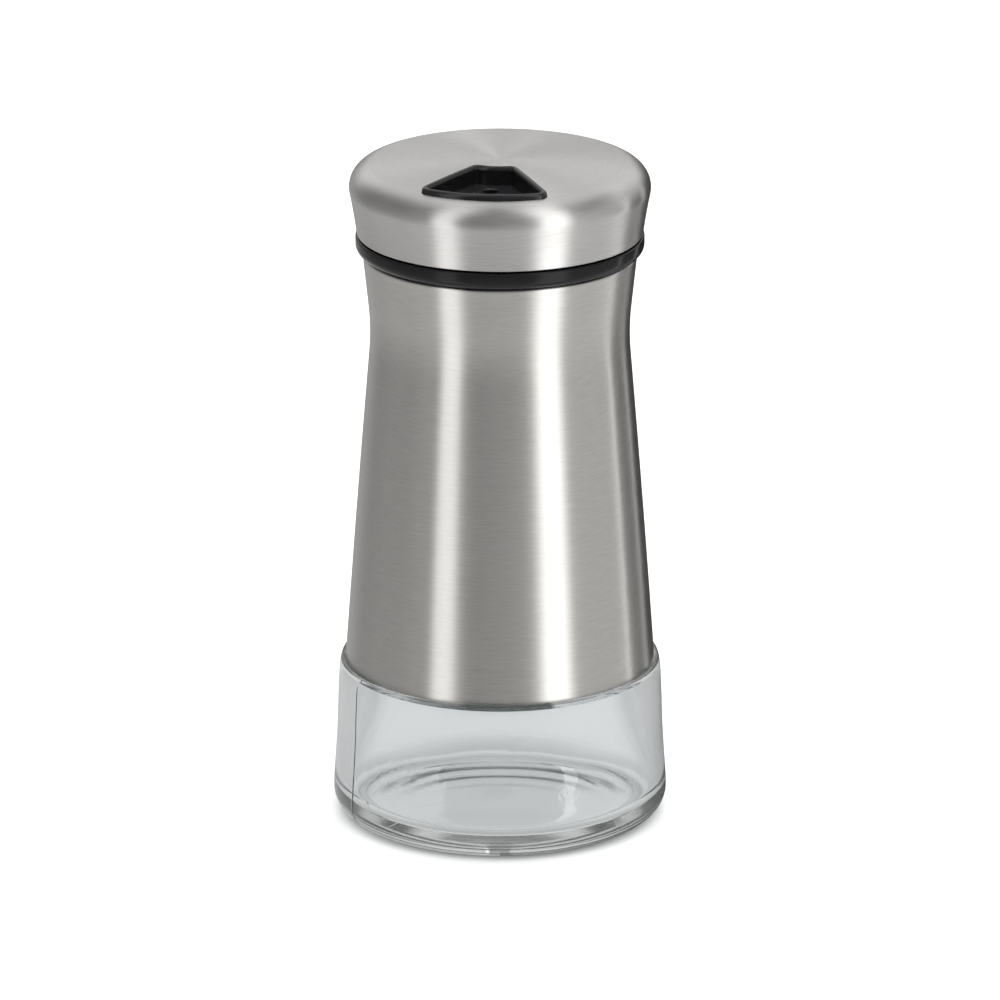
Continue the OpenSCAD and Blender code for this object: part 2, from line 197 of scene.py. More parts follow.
# Sweeps a profile round a path, then adds the thread, the mould seam and the waves of pressed glass
def makeSpinTree():
    tree, given, result = makeTree("spinProfile", "GeometryNodeTree", [
        ("Geometry", "NodeSocketGeometry", None), ("Path", "NodeSocketObject", None),
        ("Thread Depth", "NodeSocketFloat", 0.0), ("Thread Pitch", "NodeSocketFloat", 0.004),
        ("Thread Phase", "NodeSocketFloat", 0.0), ("Seam Depth", "NodeSocketFloat", 0.0),
        ("Wave Depth", "NodeSocketFloat", 0.0), ("Wave Scale", "NodeSocketFloat", 60.0),
        ("Seed", "NodeSocketFloat", 1.0), ("Material", "NodeSocketMaterial", None)],
        [("Geometry", "NodeSocketGeometry")])
    path = addNode(tree, "GeometryNodeObjectInfo", None, {"Object": given["Path"]})
    circle = addNode(tree, "GeometryNodeMeshToCurve", None, {0: path.outputs["Geometry"]})
    profile = addNode(tree, "GeometryNodeMeshToCurve", None, {0: given["Geometry"]})
    swept = sweepAlong(tree, circle, profile)

    def share(name):
        named = addNode(tree, "GeometryNodeInputNamedAttribute", {"data_type": "FLOAT"})
        named.inputs["Name"].default_value = name
        return named.outputs["Attribute"]

    # the sweep leans a little off its circle, so each point goes to its exact radius and heading
    position = addNode(tree, "GeometryNodeInputPosition").outputs[0]
    height = splitPlace(tree, position)[2]
    east = product(tree, share("reach"), maths(tree, "COSINE", share("heading")))
    north = product(tree, share("reach"), maths(tree, "SINE", share("heading")))
    exact = addNode(tree, "ShaderNodeCombineXYZ", None, {0: east, 1: north, 2: height}).outputs[0]
    trued = addNode(tree, "GeometryNodeSetPosition", None, {"Geometry": swept, "Position": exact})
    welded = addNode(tree, "GeometryNodeMergeByDistance", None, {0: trued.outputs[0], "Distance": weldGap})

    x, y, z = splitPlace(tree, position)
    turn = maths(tree, "DIVIDE", maths(tree, "ARCTAN2", y, x), math.tau)
    along = maths(tree, "SUBTRACT", maths(tree, "DIVIDE", z, given["Thread Pitch"]), turn)
    saw = maths(tree, "FRACT", maths(tree, "ADD", along, given["Thread Phase"]))
    offCrest = magnitude(tree, maths(tree, "SUBTRACT", saw, 0.5))
    crest = softRamp(tree, offCrest, 1.0, 0.0, *threadCrest)
    thread = product(tree, crest, share("thread"), given["Thread Depth"])
    seam = product(tree, share("seam"), share("moulded"), given["Seam Depth"])
    flat = addNode(tree, "ShaderNodeCombineXYZ", None, {0: x, 1: y}).outputs[0]
    outwards = vectorMaths(tree, "NORMALIZE", {0: flat})
    radial = vectorMaths(tree, "SCALE", {0: outwards, "Scale": maths(tree, "ADD", thread, seam)})

    noise = addNode(tree, "ShaderNodeTexNoise", {"noise_dimensions": "4D"}, {
        "Vector": position, "W": given["Seed"], "Scale": given["Wave Scale"], "Detail": 1.0}).outputs[0]
    swell = product(tree, maths(tree, "SUBTRACT", noise, 0.5), share("wave"), given["Wave Depth"])
    normal = addNode(tree, "GeometryNodeInputNormal").outputs[0]
    wavy = vectorMaths(tree, "SCALE", {0: normal, "Scale": swell})
    offset = vectorMaths(tree, "ADD", {0: radial, 1: wavy})
    shaped = addNode(tree, "GeometryNodeSetPosition", None, {
        "Geometry": welded.outputs[0], "Offset": offset})
    finishTree(tree, shaped.outputs[0], given["Material"], result)
    return tree


pathRadius = 10.0  # mm, of the path that profiles are swept round
seamShape = {0.0: 1.0, 0.16: 0.5, 0.36: 0.0, 0.8: 0.0}  # degrees from a seam: how much of it stands
seamClear = 1.0    # degrees beside a seam that hold only the seam's own points


def chainObject(name, points, closed, shares=None):
    count = len(points)
    edges = [(i, i + 1) for i in range(count - 1)] + ([(count - 1, 0)] if closed else [])
    mesh = bpy.data.meshes.new(name)
    mesh.from_pydata(points, edges, [])
    for label, values in (shares or {}).items():
        mesh.attributes.new(label, "FLOAT", "POINT").data.foreach_set("value", values)
    return addToScene(name, mesh)


def addToScene(name, data):
    made = bpy.data.objects.new(name, data)
    bpy.context.scene.collection.objects.link(made)
    return made


def ringPath(name, steps, seams=()):  # a circle, with close points where a seam crosses it
    turns = {360 * i / steps: 0.0 for i in range(steps)}
    for seam in seams:
        turns = {a: s for a, s in turns.items() if abs(a - seam) > seamClear}
        turns.update({seam + side * d: s for d, s in seamShape.items() for side in (-1, 1)})
    order = sorted(turns)
    headings = [math.radians(a) for a in order]
    points = [(pathRadius * mm * math.cos(a), pathRadius * mm * math.sin(a), 0) for a in headings]
    return chainObject(name, points, True, {"seam": [turns[a] for a in order], "heading": headings})


def bake(piece, modifier):  # keeps what the modifier makes as a plain mesh
    graph = bpy.context.evaluated_depsgraph_get()
    mesh = bpy.data.meshes.new_from_object(piece.evaluated_get(graph))
    piece.modifiers.remove(modifier)
    mesh.name = piece.name
    piece.data = mesh


def grow(piece, tree, values):
    modifier = piece.modifiers.new(tree.name, "NODES")
    modifier.node_group = tree
    for item in tree.interface.items_tree:
        if item.in_out == "INPUT" and item.name in values:
            modifier[item.identifier] = values[item.name]
    bake(piece, modifier)


def finishMesh(piece, sharpAngle=32):
    shape = bmesh.new()
    shape.from_mesh(piece.data)
    bmesh.ops.remove_doubles(shape, verts=shape.verts, dist=weldGap / 2)
    bmesh.ops.recalc_face_normals(shape, faces=shape.faces)
    openEdges = sum(1 for e in shape.edges if not e.is_manifold)
    shape.to_mesh(piece.data)
    shape.free()
    piece.data.shade_smooth()
    piece.data.set_sharp_from_angle(angle=math.radians(sharpAngle))
    for label in ("seam", "heading", "reach", "thread", "wave", "moulded"):
        if label in piece.data.attributes:
            piece.data.attributes.remove(piece.data.attributes[label])
    print("made", piece.name, len(piece.data.polygons), "faces,", openEdges, "open edges")
    return piece


def spin(name, points, material, closed=False, path=None, shares=None, **sizes):
    flat = [((r - pathRadius) * mm, -z * mm, 0) for r, z in points]
    given = {label: [0.0] * len(flat) for label in ("thread", "wave", "moulded")}
    given["reach"] = [r * mm for r, z in points]
    given.update(shares or {})
    piece = chainObject(name, flat, closed, given)
    grow(piece, spinTree, {"Path": path or plainPath, "Material": material, **sizes})
    return piece


def cut(piece, cutter):
    modifier = piece.modifiers.new("cut", "BOOLEAN")
    modifier.object = cutter
    modifier.operation = "DIFFERENCE"
    modifier.solver = "EXACT"
    bake(piece, modifier)
    bpy.data.objects.remove(cutter)


def prism(name, outline, low, high):  # a closed upright block over an outline, in mm
    shape = bmesh.new()
    base = [shape.verts.new((x * mm, y * mm, low * mm)) for x, y in outline]
    roof = [shape.verts.new((x * mm, y * mm, high * mm)) for x, y in outline]
    shape.faces.new(base[::-1])
    shape.faces.new(roof)
    for i in range(len(outline)):
        j = (i + 1) % len(outline)
        shape.faces.new((base[i], base[j], roof[j], roof[i]))
    mesh = bpy.data.meshes.new(name)
    bmesh.ops.recalc_face_normals(shape, faces=shape.faces)
    shape.to_mesh(mesh)
    shape.free()
    return addToScene(name, mesh)


def turned(points, turn):
    c, s = math.cos(turn), math.sin(turn)
    return [(x * c - y * s, x * s + y * c) for x, y in points]


# Fine lines that run round the axis, on the side of a piece and on its top
def makeBrushGroup():
    tree, given, result = makeTree("brushLines", "ShaderNodeTree", [
        ("Lines", "NodeSocketFloat", 3200.0), ("Length", "NodeSocketFloat", 150.0),
        ("Contrast", "NodeSocketFloat", 1.0)],
        [("Streaks", "NodeSocketFloat"), ("Clouds", "NodeSocketFloat")])
    place = addNode(tree, "ShaderNodeTexCoord").outputs["Object"]
    x, y, z = splitPlace(tree, place)
    down = maths(tree, "SUBTRACT", radiusOf(tree, x, y), z)
    stretched = addNode(tree, "ShaderNodeCombineXYZ", None, {
        0: product(tree, x, given["Length"]), 1: product(tree, y, given["Length"]),
        2: product(tree, down, given["Lines"])}).outputs[0]
    fine = noiseAt(tree, stretched, scale=1.0, detail=3.0, roughness=0.65)
    clouds = noiseAt(tree, place, scale=55.0, detail=3.0, roughness=0.6)
    spread = product(tree, maths(tree, "SUBTRACT", fine, 0.5), given["Contrast"])
    tree.links.new(maths(tree, "ADD", spread, 0.5), result["Streaks"])
    tree.links.new(clouds, result["Clouds"])
    return tree


# The fine grain and the faint wipe marks of moulded plastic
def makeGrainGroup():
    tree, given, result = makeTree("mouldGrain", "ShaderNodeTree", [
        ("Grain Scale", "NodeSocketFloat", 9000.0), ("Marks Scale", "NodeSocketFloat", 160.0)],
        [("Grain", "NodeSocketFloat"), ("Marks", "NodeSocketFloat")])
    place = addNode(tree, "ShaderNodeTexCoord").outputs["Object"]
    grain = noiseAt(tree, place, given["Grain Scale"], detail=2.0)
    marks = noiseAt(tree, place, given["Marks Scale"], detail=4.0, roughness=0.7)
    tree.links.new(grain, result["Grain"])
    tree.links.new(marks, result["Marks"])
    return tree


def makeMaterial(name, fixed):
    material = bpy.data.materials.new(name)
    material.use_nodes = True
    tree = material.node_tree
    tree.nodes.clear()
    shader = addNode(tree, "ShaderNodeBsdfPrincipled", None, fixed)
    output = addNode(tree, "ShaderNodeOutputMaterial", None, {"Surface": shader.outputs[0]})
    return material, tree, shader, output


def twoTones(tree, factor, first, second):  # each tone is a colour or another node's output
    tones = [tone if isinstance(tone, bpy.types.NodeSocket) else (*tone, 1) for tone in (first, second)]
    mix = addNode(tree, "ShaderNodeMix", {"data_type": "RGBA"}, {0: factor, 6: tones[0], 7: tones[1]})
    return mix.outputs[2]


def addBump(tree, shader, height, strength, distance):
    bump = addNode(tree, "ShaderNodeBump", None, {
        "Height": height, "Strength": strength, "Distance": distance})
    tree.links.new(bump.outputs[0], shader.inputs["Normal"])


# The stretch of a pattern over which the roughness changes, and how deep the pattern is, in metres
steelDetail = {
    "streaks": (0.25, 0.75), "clouds": (0.3, 0.7), "cloudy": 0.012, "bump": 0.25, "deep": 0.00001}
plasticDetail = {"marks": (0.3, 0.7), "deep": 0.00002}


def makeBrushedSteel(name, dark, light, rough, lines, length, lean, contrast):
    material, tree, shader, _ = makeMaterial(name, {
        "Metallic": 1.0, "Anisotropic": lean, "Anisotropic Rotation": 0.25})
    streaks, clouds = addNode(tree, "ShaderNodeGroup", {"node_tree": brushGroup}, {
        "Lines": lines, "Length": length, "Contrast": contrast}).outputs
    tree.links.new(twoTones(tree, streaks, dark, light), shader.inputs["Base Color"])
    lined = ramp(tree, streaks, *rough, *steelDetail["streaks"])
    cloudy = ramp(tree, clouds, -steelDetail["cloudy"], steelDetail["cloudy"], *steelDetail["clouds"])
    tree.links.new(maths(tree, "ADD", lined, cloudy), shader.inputs["Roughness"])
    kept = ramp(tree, streaks, 0.0, 1.0)  # without what the contrast lifts out of range
    addBump(tree, shader, kept, steelDetail["bump"], steelDetail["deep"])
    return material


def makePlastic(name, dark, light, rough, bump, shine):
    material, tree, shader, _ = makeMaterial(name, {"Specular IOR Level": shine})
    grain, marks = addNode(tree, "ShaderNodeGroup", {"node_tree": grainGroup}).outputs
    tree.links.new(twoTones(tree, marks, dark, light), shader.inputs["Base Color"])
    worn = ramp(tree, marks, *rough, *plasticDetail["marks"])
    tree.links.new(worn, shader.inputs["Roughness"])
    addBump(tree, shader, grain, bump, plasticDetail["deep"])
    return material


# Zones of the jar's glass, in metres from the axis and from the ground
glassZones = {
    "outside": (0.0285, 0.0295), "belowLip": (0.024, 0.027),  # the foot's side, where the press left ripples
    "inHeel": (0.0262, 0.0266), "heelTop": (0.0028, 0.0042),  # the heel, where the glass is thickest
    "within": (0.0262, 0.0264), "lowest": (0.0017, 0.0019),   # the chilled ring and hollow that it stands on
    "groove": (0.0279, 0.0287), "grooveHalf": 0.0007,         # the slit under the sleeve's edge, tinted dark in patches as painted shade
    "patches": 62.0, "rippled": (0.55, 0.68), "patchyShade": (0.44, 0.52),
    "ripples": 800.0, "bump": 0.12, "deep": 0.0002}


def makeGlass(name, tint, deep, grooveShade, shadow, shadowTint, frost):
    material, tree, shader, output = makeMaterial(name, {
        "IOR": 1.5, "Metallic": 0.0, "Transmission Weight": 1.0})
    zones = glassZones
    place = addNode(tree, "ShaderNodeTexCoord").outputs["Object"]
    x, y, z = splitPlace(tree, place)
    radius = radiusOf(tree, x, y)
    patches = noiseAt(tree, place, zones["patches"], detail=1.0)

    outside = product(tree, ramp(tree, radius, 0.0, 1.0, *zones["outside"]),
                      ramp(tree, z, 1.0, 0.0, *zones["belowLip"]))
    uneven = product(tree, outside, softRamp(tree, patches, 0.0, 1.0, *zones["rippled"]))
    ripple = noiseAt(tree, place, zones["ripples"], detail=3.0)
    addBump(tree, shader, product(tree, ripple, uneven), zones["bump"], zones["deep"])

    under = product(tree, ramp(tree, radius, 1.0, 0.0, *zones["within"]),
                    ramp(tree, z, 1.0, 0.0, *zones["lowest"]))
    tree.links.new(product(tree, under, frost), shader.inputs["Roughness"])

    thick = product(tree, ramp(tree, radius, 0.0, 1.0, *zones["inHeel"]),
                    ramp(tree, z, 1.0, 0.0, *zones["heelTop"]))
    # painted shade: the slit under the sleeve's edge is tinted dark in patches, where the sleeve shades the
    # glass
    grooveR, grooveZ = zones["groove"]
    inGroove = product(tree, maths(tree, "COMPARE", radius, grooveR, zones["grooveHalf"]),
                       maths(tree, "COMPARE", z, grooveZ, zones["grooveHalf"]))
    patchyShade = product(tree, inGroove, softRamp(tree, patches, 0.0, 1.0, *zones["patchyShade"]))
    tinted = twoTones(tree, patchyShade, twoTones(tree, thick, tint, deep), grooveShade)
    tree.links.new(tinted, shader.inputs["Base Color"])

    clear = addNode(tree, "ShaderNodeBsdfTransparent", None, {"Color": (*shadowTint, 1)})
    path = addNode(tree, "ShaderNodeLightPath")
    share = product(tree, path.outputs["Is Shadow Ray"], shadow)
    either = addNode(tree, "ShaderNodeMixShader", None, {
        0: share, 1: shader.outputs[0], 2: clear.outputs[0]})
    tree.links.new(either.outputs[0], output.inputs["Surface"])
    return material


# Two tones that a pattern mixes, the least and the most roughness, and what one kind of finish needs
finishes = {
    # the glass's dark groove tone is painted shade under the sleeve's edge
    "clearGlass": {"tint": (0.945, 0.965, 0.97), "deep": (0.80, 0.84, 0.82), "grooveShade": (0.16, 0.18, 0.17),
                   "shadow": 0.95, "shadowTint": (0.93, 0.94, 0.94), "frost": 0.1},
    "sleeveSteel": {"dark": (0.598, 0.588, 0.563), "light": (0.702, 0.692, 0.667), "rough": (0.31, 0.33),
                    "lines": 3400, "length": 300, "lean": 0.94, "contrast": 2.0},
    "capSteel": {"dark": (0.608, 0.6, 0.585), "light": (0.702, 0.695, 0.68), "rough": (0.325, 0.345),
                 "lines": 3400, "length": 300, "lean": 0.94, "contrast": 2.2},
    "plainSteel": {"dark": (0.50, 0.50, 0.49), "light": (0.62, 0.62, 0.61), "rough": (0.28, 0.36),
                   "lines": 5000, "length": 500, "lean": 0.3, "contrast": 1.0},
    "collarBlack": {"dark": (0.006, 0.006, 0.007), "light": (0.012, 0.012, 0.013), "rough": (0.12, 0.2),
                    "bump": 0.12, "shine": 0.2},
    "dialBlack": {"dark": (0.008, 0.008, 0.009), "light": (0.014, 0.014, 0.015), "rough": (0.10, 0.17),
                  "bump": 0.06, "shine": 0.4},
    "sifterBlack": {"dark": (0.008, 0.008, 0.009), "light": (0.013, 0.013, 0.014), "rough": (0.16, 0.24),
                    "bump": 0.08, "shine": 0.5},
    "sealWhite": {"dark": (0.66, 0.65, 0.61), "light": (0.76, 0.75, 0.71), "rough": (0.7, 0.85),
                  "bump": 0.5, "shine": 0.5}}

brushGroup = makeBrushGroup()
grainGroup = makeGrainGroup()
spinTree = makeSpinTree()
plainPath = ringPath("plainPath", steps=288)

clearGlass = makeGlass("clearGlass", **finishes["clearGlass"])
sleeveSteel = makeBrushedSteel("sleeveSteel", **finishes["sleeveSteel"])
capSteel = makeBrushedSteel("capSteel", **finishes["capSteel"])
plainSteel = makeBrushedSteel("plainSteel", **finishes["plainSteel"])
collarBlack = makePlastic("collarBlack", **finishes["collarBlack"])
dialBlack = makePlastic("dialBlack", **finishes["dialBlack"])
sifterBlack = makePlastic("sifterBlack", **finishes["sifterBlack"])
sealWhite = makePlastic("sealWhite", **finishes["sealWhite"])
print("materials made")


# The steel sleeve: a cone with a waist, a flare and a shelf that reaches in at its top
sleeve = {
    "foot": (28.15, sleeveFoot), "waist": (23.15, 91.3), "top": (24.65, sleeveTop), "belly": 0.12,
    "blend": 4.5,   # how far from the waist the cone starts to bend
    "sheet": 0.5, "edge": 0.18, "roll": 0.35, "corner": 0.4, "lip": 22.65,
    "apart": 0.3}   # room between a curve's last point and the next curve


def sleeveCurve(inset, low):  # from the height low up to the flared edge
    foot, waist, top = (Vector(sleeve[k]) for k in ("foot", "waist", "top"))
    middle = (foot + waist) / 2 + Vector((2 * sleeve["belly"], 0))
    down = waist + (middle - waist).normalized() * sleeve["blend"]
    up = waist + (top - waist).normalized() * sleeve["blend"]
    cone = [p for p in bendPoints(foot, middle, waist, 60) if low < p[1] < down.y - sleeve["apart"]]
    points = cone + bendPoints(down, waist, up, 14) + linePoints(up, top, 12)[1:]
    return [(r - inset, z) for r, z in points]


def makeSleeve():
    (footR, footZ), (topR, topZ) = sleeve["foot"], sleeve["top"]
    low, sheet, roll, corner = footZ + sleeve["edge"], sleeve["sheet"], sleeve["roll"], sleeve["corner"]
    outer = [p for p in sleeveCurve(0, low)[:-1] if p[1] < topZ - corner]
    inner = [p for p in sleeveCurve(sheet, low) if p[1] < topZ - sheet - sleeve["apart"]]
    footEdge = arcPoints(footR - sheet / 2, footZ + sheet / 2, sheet / 2, 180, 360, 8)
    rolled = arcPoints(topR - roll, topZ - roll, roll, 0, 90, 8)
    shelf = [(sleeve["lip"], topZ), (sleeve["lip"], topZ - sheet), (topR - sheet - corner, topZ - sheet)]
    points = joined(footEdge, outer, rolled, shelf, inner[::-1])
    return finishMesh(spin("sleeveShell", points, sleeveSteel, closed=True))


sleeveShell = makeSleeve()
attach(sleeveShell, "jar")
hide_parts("steel_sleeve")


# The glass jar: a foot with a lip under the sleeve, a thin floor, a shoulder and a threaded neck
jar = {
    "bearing": (23.0, 26.3), "punt": 1.6, "puntCurve": 12.0, "heel": 4.1,
    "side": [(30.38, 5.2), (30.2, 8.0), (29.86, 13.0), (29.65, 17.0), (29.53, 21.0), (29.38, 24.6)],
    "lip": (28.45, 29.3), "lipRound": 0.75, "lipEdge": 0.1, "groove": (27.35, 28.1),
    "body": (28.6, 90.0), "underSleeve": 0.3, "shoulder": (22.35, sleeveTop), "shoulderRound": 1.2,
    "fillet": 0.6, "neck": 20.4, "neckBore": 17.4, "rim": jarTop, "rimRound": 0.8, "wall": 3.0, "blend": 8.0,
    "floor": (27.2, 3.6), "floorRound": 2.7, "floorCrown": 0.3,
    "floorRing": (24.2, 0.12, 0.05),                     # radius, half width, height
    "thread": (107.4, 114.6), "pitch": 4.0, "threadDepth": 1.2,
    "seamTurns": (208.0,), "seamHeights": (0.5, 28.0), "seamDepth": 0.09,
    "waves": (4.0, 60.0), "waveDepth": 0.02, "waveScale": 70.0, "seed": 4.0}  # grow over 4 mm, up to 60


def jarOutside(body):  # from the axis under the foot up to the rim
    low, wide = jar["bearing"]
    punt, lipEdge, fillet = jar["punt"], jar["lipEdge"], jar["fillet"]
    (lipR, lipZ), (grooveR, grooveZ), (shoulderR, shoulderZ) = jar["lip"], jar["groove"], jar["shoulder"]
    bend, neck, rim, rimRound = jar["shoulderRound"], jar["neck"], jar["rim"], jar["rimRound"]
    return joined(
        bendPoints((0, punt), (low - jar["puntCurve"], punt), (low, 0), 14),
        linePoints((low, 0), (wide, 0), 3),
        arcPoints(wide, jar["heel"], jar["heel"], -90, -4, 14),
        smoothPoints(jar["side"], 5),
        bendPoints(jar["side"][-1], (lipR + jar["lipRound"], lipZ), (lipR + lipEdge, lipZ), 8),
        [(lipR - lipEdge, lipZ - lipEdge), (lipR - lipEdge, grooveZ), (grooveR, grooveZ)],
        body,
        arcPoints(shoulderR - bend, shoulderZ - bend, bend, 0, 90, 8),
        arcPoints(neck + fillet, shoulderZ + fillet, fillet, 270, 180, 5),
        linePoints((neck, shoulderZ + fillet), (neck, rim - rimRound), 72),
        arcPoints(neck - rimRound, rim - rimRound, rimRound, 0, 90, 7))


def jarFloor():  # from the wall to the axis, with a fine line pressed round the floor
    (floorR, floor), bend, rise = jar["floor"], jar["floorRound"], jar["floorCrown"]
    flat = floorR - bend
    crown = (flat ** 2 + rise ** 2) / (2 * rise)
    lean = math.degrees(math.asin(flat / crown))
    dome = arcPoints(0, floor + rise - crown, crown, 90 - lean, 90, 20)
    ringR, ringHalf, ringRise = jar["floorRing"]
    return joined(
        arcPoints(flat, floor + bend, bend, 0, -90, 14),
        [(flat, floor), (ringR + ringHalf, floor), (ringR, floor + ringRise), (ringR - ringHalf, floor)],
        [p for p in dome if p[0] < ringR - 2 * ringHalf])


def jarInside(body):  # from the rim down the wall to the axis
    (floorR, floor), (shoulderR, shoulderZ) = jar["floor"], jar["shoulder"]
    bore, wall, blend, rim, rimRound = (jar[k] for k in ("neckBore", "wall", "blend", "rim", "rimRound"))
    inner = [(r - wall, z) for r, z in body]
    return joined(
        arcPoints(bore + rimRound, rim - rimRound, rimRound, 90, 180, 7),
        linePoints((bore, rim - rimRound), (bore, shoulderZ), 3),
        bendPoints((bore, shoulderZ), (bore, shoulderZ - blend / 2),
                   (shoulderR - wall, shoulderZ - blend), 10),
        inner[::-1],
        linePoints(inner[0], (floorR, floor + jar["floorRound"]), 16),
        jarFloor())


def makeJar():
    low, high = jar["body"]
    body = [p for p in sleeveCurve(sleeve["sheet"] + jar["underSleeve"], low) if p[1] < high]
    outside, inside = jarOutside(body), jarInside(body)
    (_, floor), (rise, end), (seamLow, seamHigh) = jar["floor"], jar["waves"], jar["seamHeights"]
    calm = floor + jar["floorRound"]
    onNeck = [runOut(z, *jar["thread"]) if abs(r - jar["neck"]) < onFace else 0.0 for r, z in outside]
    onSide = [1.0 if seamLow < z < seamHigh else 0.0 for r, z in outside]
    onWall = [limited((z - calm) / rise) if z <= end else 0.0 for r, z in inside]
    shares = {"thread": onNeck + [0.0] * len(inside), "moulded": onSide + [0.0] * len(inside),
              "wave": [0.0] * len(outside) + onWall}
    path = ringPath("jarPath", steps=264, seams=jar["seamTurns"])
    piece = spin("jarGlass", outside + inside, clearGlass, path=path, shares=shares, **{
        "Thread Depth": jar["threadDepth"] * mm, "Thread Pitch": jar["pitch"] * mm,
        "Seam Depth": jar["seamDepth"] * mm, "Wave Depth": jar["waveDepth"] * mm,
        "Wave Scale": jar["waveScale"], "Seed": jar["seed"]})
    bpy.data.objects.remove(path)
    return finishMesh(piece, sharpAngle=40)


jarGlass = makeJar()
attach(jarGlass, "jar")
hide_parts("glass_jar")


# The dial's window: one outline for the cap, the dial and the frame
window = {
    "inner": 7.0, "outer": 23.7, "halfAngle": 29.5, "apex": 0.4, "round": 1.8, "turn": 8.0,
    "frame": 1.3, "proud": 1.0, "deep": 2.3, "bulge": 0.8, "gap": 0.05}
windowTurn = -90 - window["turn"]  # degrees, towards the front and a little to the left


def windowOutline(grown):  # turned to its place, in mm
    half = math.radians(window["halfAngle"])
    corner = window["round"]
    wide = corner + grown

    def centre(r):
        x = corner / math.sin(half) - window["apex"]
        t = math.sqrt(r * r - (x * math.sin(half)) ** 2) - x * math.cos(half)
        return x + t * math.cos(half), t * math.sin(half)

    far, near = centre(window["outer"] - corner), centre(window["inner"] + corner)
    farTurn, nearTurn = (math.degrees(math.atan2(p[1], p[0])) for p in (far, near))
    side = 90 + window["halfAngle"]
    off = (wide * math.cos(math.radians(side)), wide * math.sin(math.radians(side)))
    points = joined(
        arcPoints(0, 0, window["outer"] + grown, 0, farTurn, 16),
        arcPoints(*far, wide, farTurn, side, 10),
        linePoints(*[(x + off[0], y + off[1]) for x, y in (far, near)], 12),
        arcPoints(*near, wide, side, 180 + nearTurn, 10),
        arcPoints(0, 0, window["inner"] - grown, nearTurn, 0, 5))
    loop = points + [(x, -y) for x, y in points[::-1] if y > onFace]
    return turned(loop, math.radians(windowTurn))


# The steel cap: a domed top, a rounded crown and a side that leans in
cap = {
    "foot": (25.7, capFoot), "crownR": 27.0, "crownZ": 117.65, "round": 4.1, "apex": capTop,
    "lean": 11.5, "sheet": 0.5, "cutDown": 4, "cutUp": 2}


def domeRadius():  # of the sphere that runs on into the crown's round
    reach, rise, bend = cap["crownR"] - cap["round"], cap["apex"] - cap["crownZ"], cap["round"]
    return (reach ** 2 + rise ** 2 - bend ** 2) / (2 * (rise - bend))


def domeHeight(x, y):  # the cap's upper face over a point, in mm
    return cap["apex"] - domeRadius() + math.sqrt(domeRadius() ** 2 - x * x - y * y)


def capCurve(inset, low):  # from the axis to the lower edge
    reach, domeR = cap["crownR"] - cap["round"], domeRadius()
    tilt = math.degrees(math.asin(reach / (domeR - cap["round"])))
    dome = arcPoints(0, cap["apex"] - domeR, domeR - inset, 90, 90 - tilt, 44)
    crown = arcPoints(reach, cap["crownZ"], cap["round"] - inset, 90 - tilt, -cap["lean"], 30)
    edge, foot = crown[-1], (cap["foot"][0] - inset, low)
    fall = (edge[1] - low) / 2
    bend = (edge[0] - math.tan(math.radians(cap["lean"])) * fall, edge[1] - fall)
    return joined(dome, crown, bendPoints(edge, bend, foot, 14))


def makeCap():
    (footR, footZ), half = cap["foot"], cap["sheet"] / 2
    outer = capCurve(0, footZ + half)
    inner = capCurve(cap["sheet"], footZ + half)
    edge = arcPoints(footR - half, footZ + half, half, 0, -180, 8)
    piece = spin("capShell", joined(outer, edge, inner[::-1]), capSteel)
    opening = windowOutline(window["gap"])
    cut(piece, prism("capWindow", opening, cap["apex"] - cap["cutDown"], cap["apex"] + cap["cutUp"]))
    return finishMesh(piece)


capShell = makeCap()
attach(capShell, "dial")
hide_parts("steel_cap")


# The dial under the cap, with a bead that snaps into the collar's groove
dial = {
    "bore": 23.95, "plate": 120.45, "skirt": 109.55, "bead": (0.65, 111.55, 112.35), "beadSlope": 0.2,
    "hub": (3.0, 118.35), "screwHole": (1.5, 121.45), "gap": 0.05}


def makeDial():
    bore, plate, skirt, slope = dial["bore"], dial["plate"], dial["skirt"], dial["beadSlope"]
    (bead, low, high), (hub, hubZ), (hole, holeTop) = dial["bead"], dial["hub"], dial["screwHole"]
    inside = [(bore, skirt), (bore, low), (bore - bead, low + slope), (bore - bead, high - slope),
              (bore, high), (bore, plate), (hub, plate), (hub, hubZ), (hole, hubZ), (hole, holeTop),
              (0, holeTop)]
    piece = spin("dialShell", joined(capCurve(cap["sheet"] + dial["gap"], skirt), inside), dialBlack)
    opening = windowOutline(-window["frame"] / 2)
    cut(piece, prism("dialWindow", opening, plate - spare, cap["apex"] + cap["cutUp"]))
    return finishMesh(piece)


dialShell = makeDial()
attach(dialShell, "dial")
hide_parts("selector_dial")


# Sweeps the raised frame's section along the window's outline
def makeSweepTree():
    tree, given, result = makeTree("sweepFrame", "GeometryNodeTree", [
        ("Geometry", "NodeSocketGeometry", None), ("Section", "NodeSocketObject", None),
        ("Material", "NodeSocketMaterial", None)], [("Geometry", "NodeSocketGeometry")])
    section = addNode(tree, "GeometryNodeObjectInfo", None, {"Object": given["Section"]})
    shape = addNode(tree, "GeometryNodeMeshToCurve", None, {0: section.outputs["Geometry"]})
    line = addNode(tree, "GeometryNodeMeshToCurve", None, {0: given["Geometry"]})
    finishTree(tree, sweepAlong(tree, line, shape), given["Material"], result)
    return tree


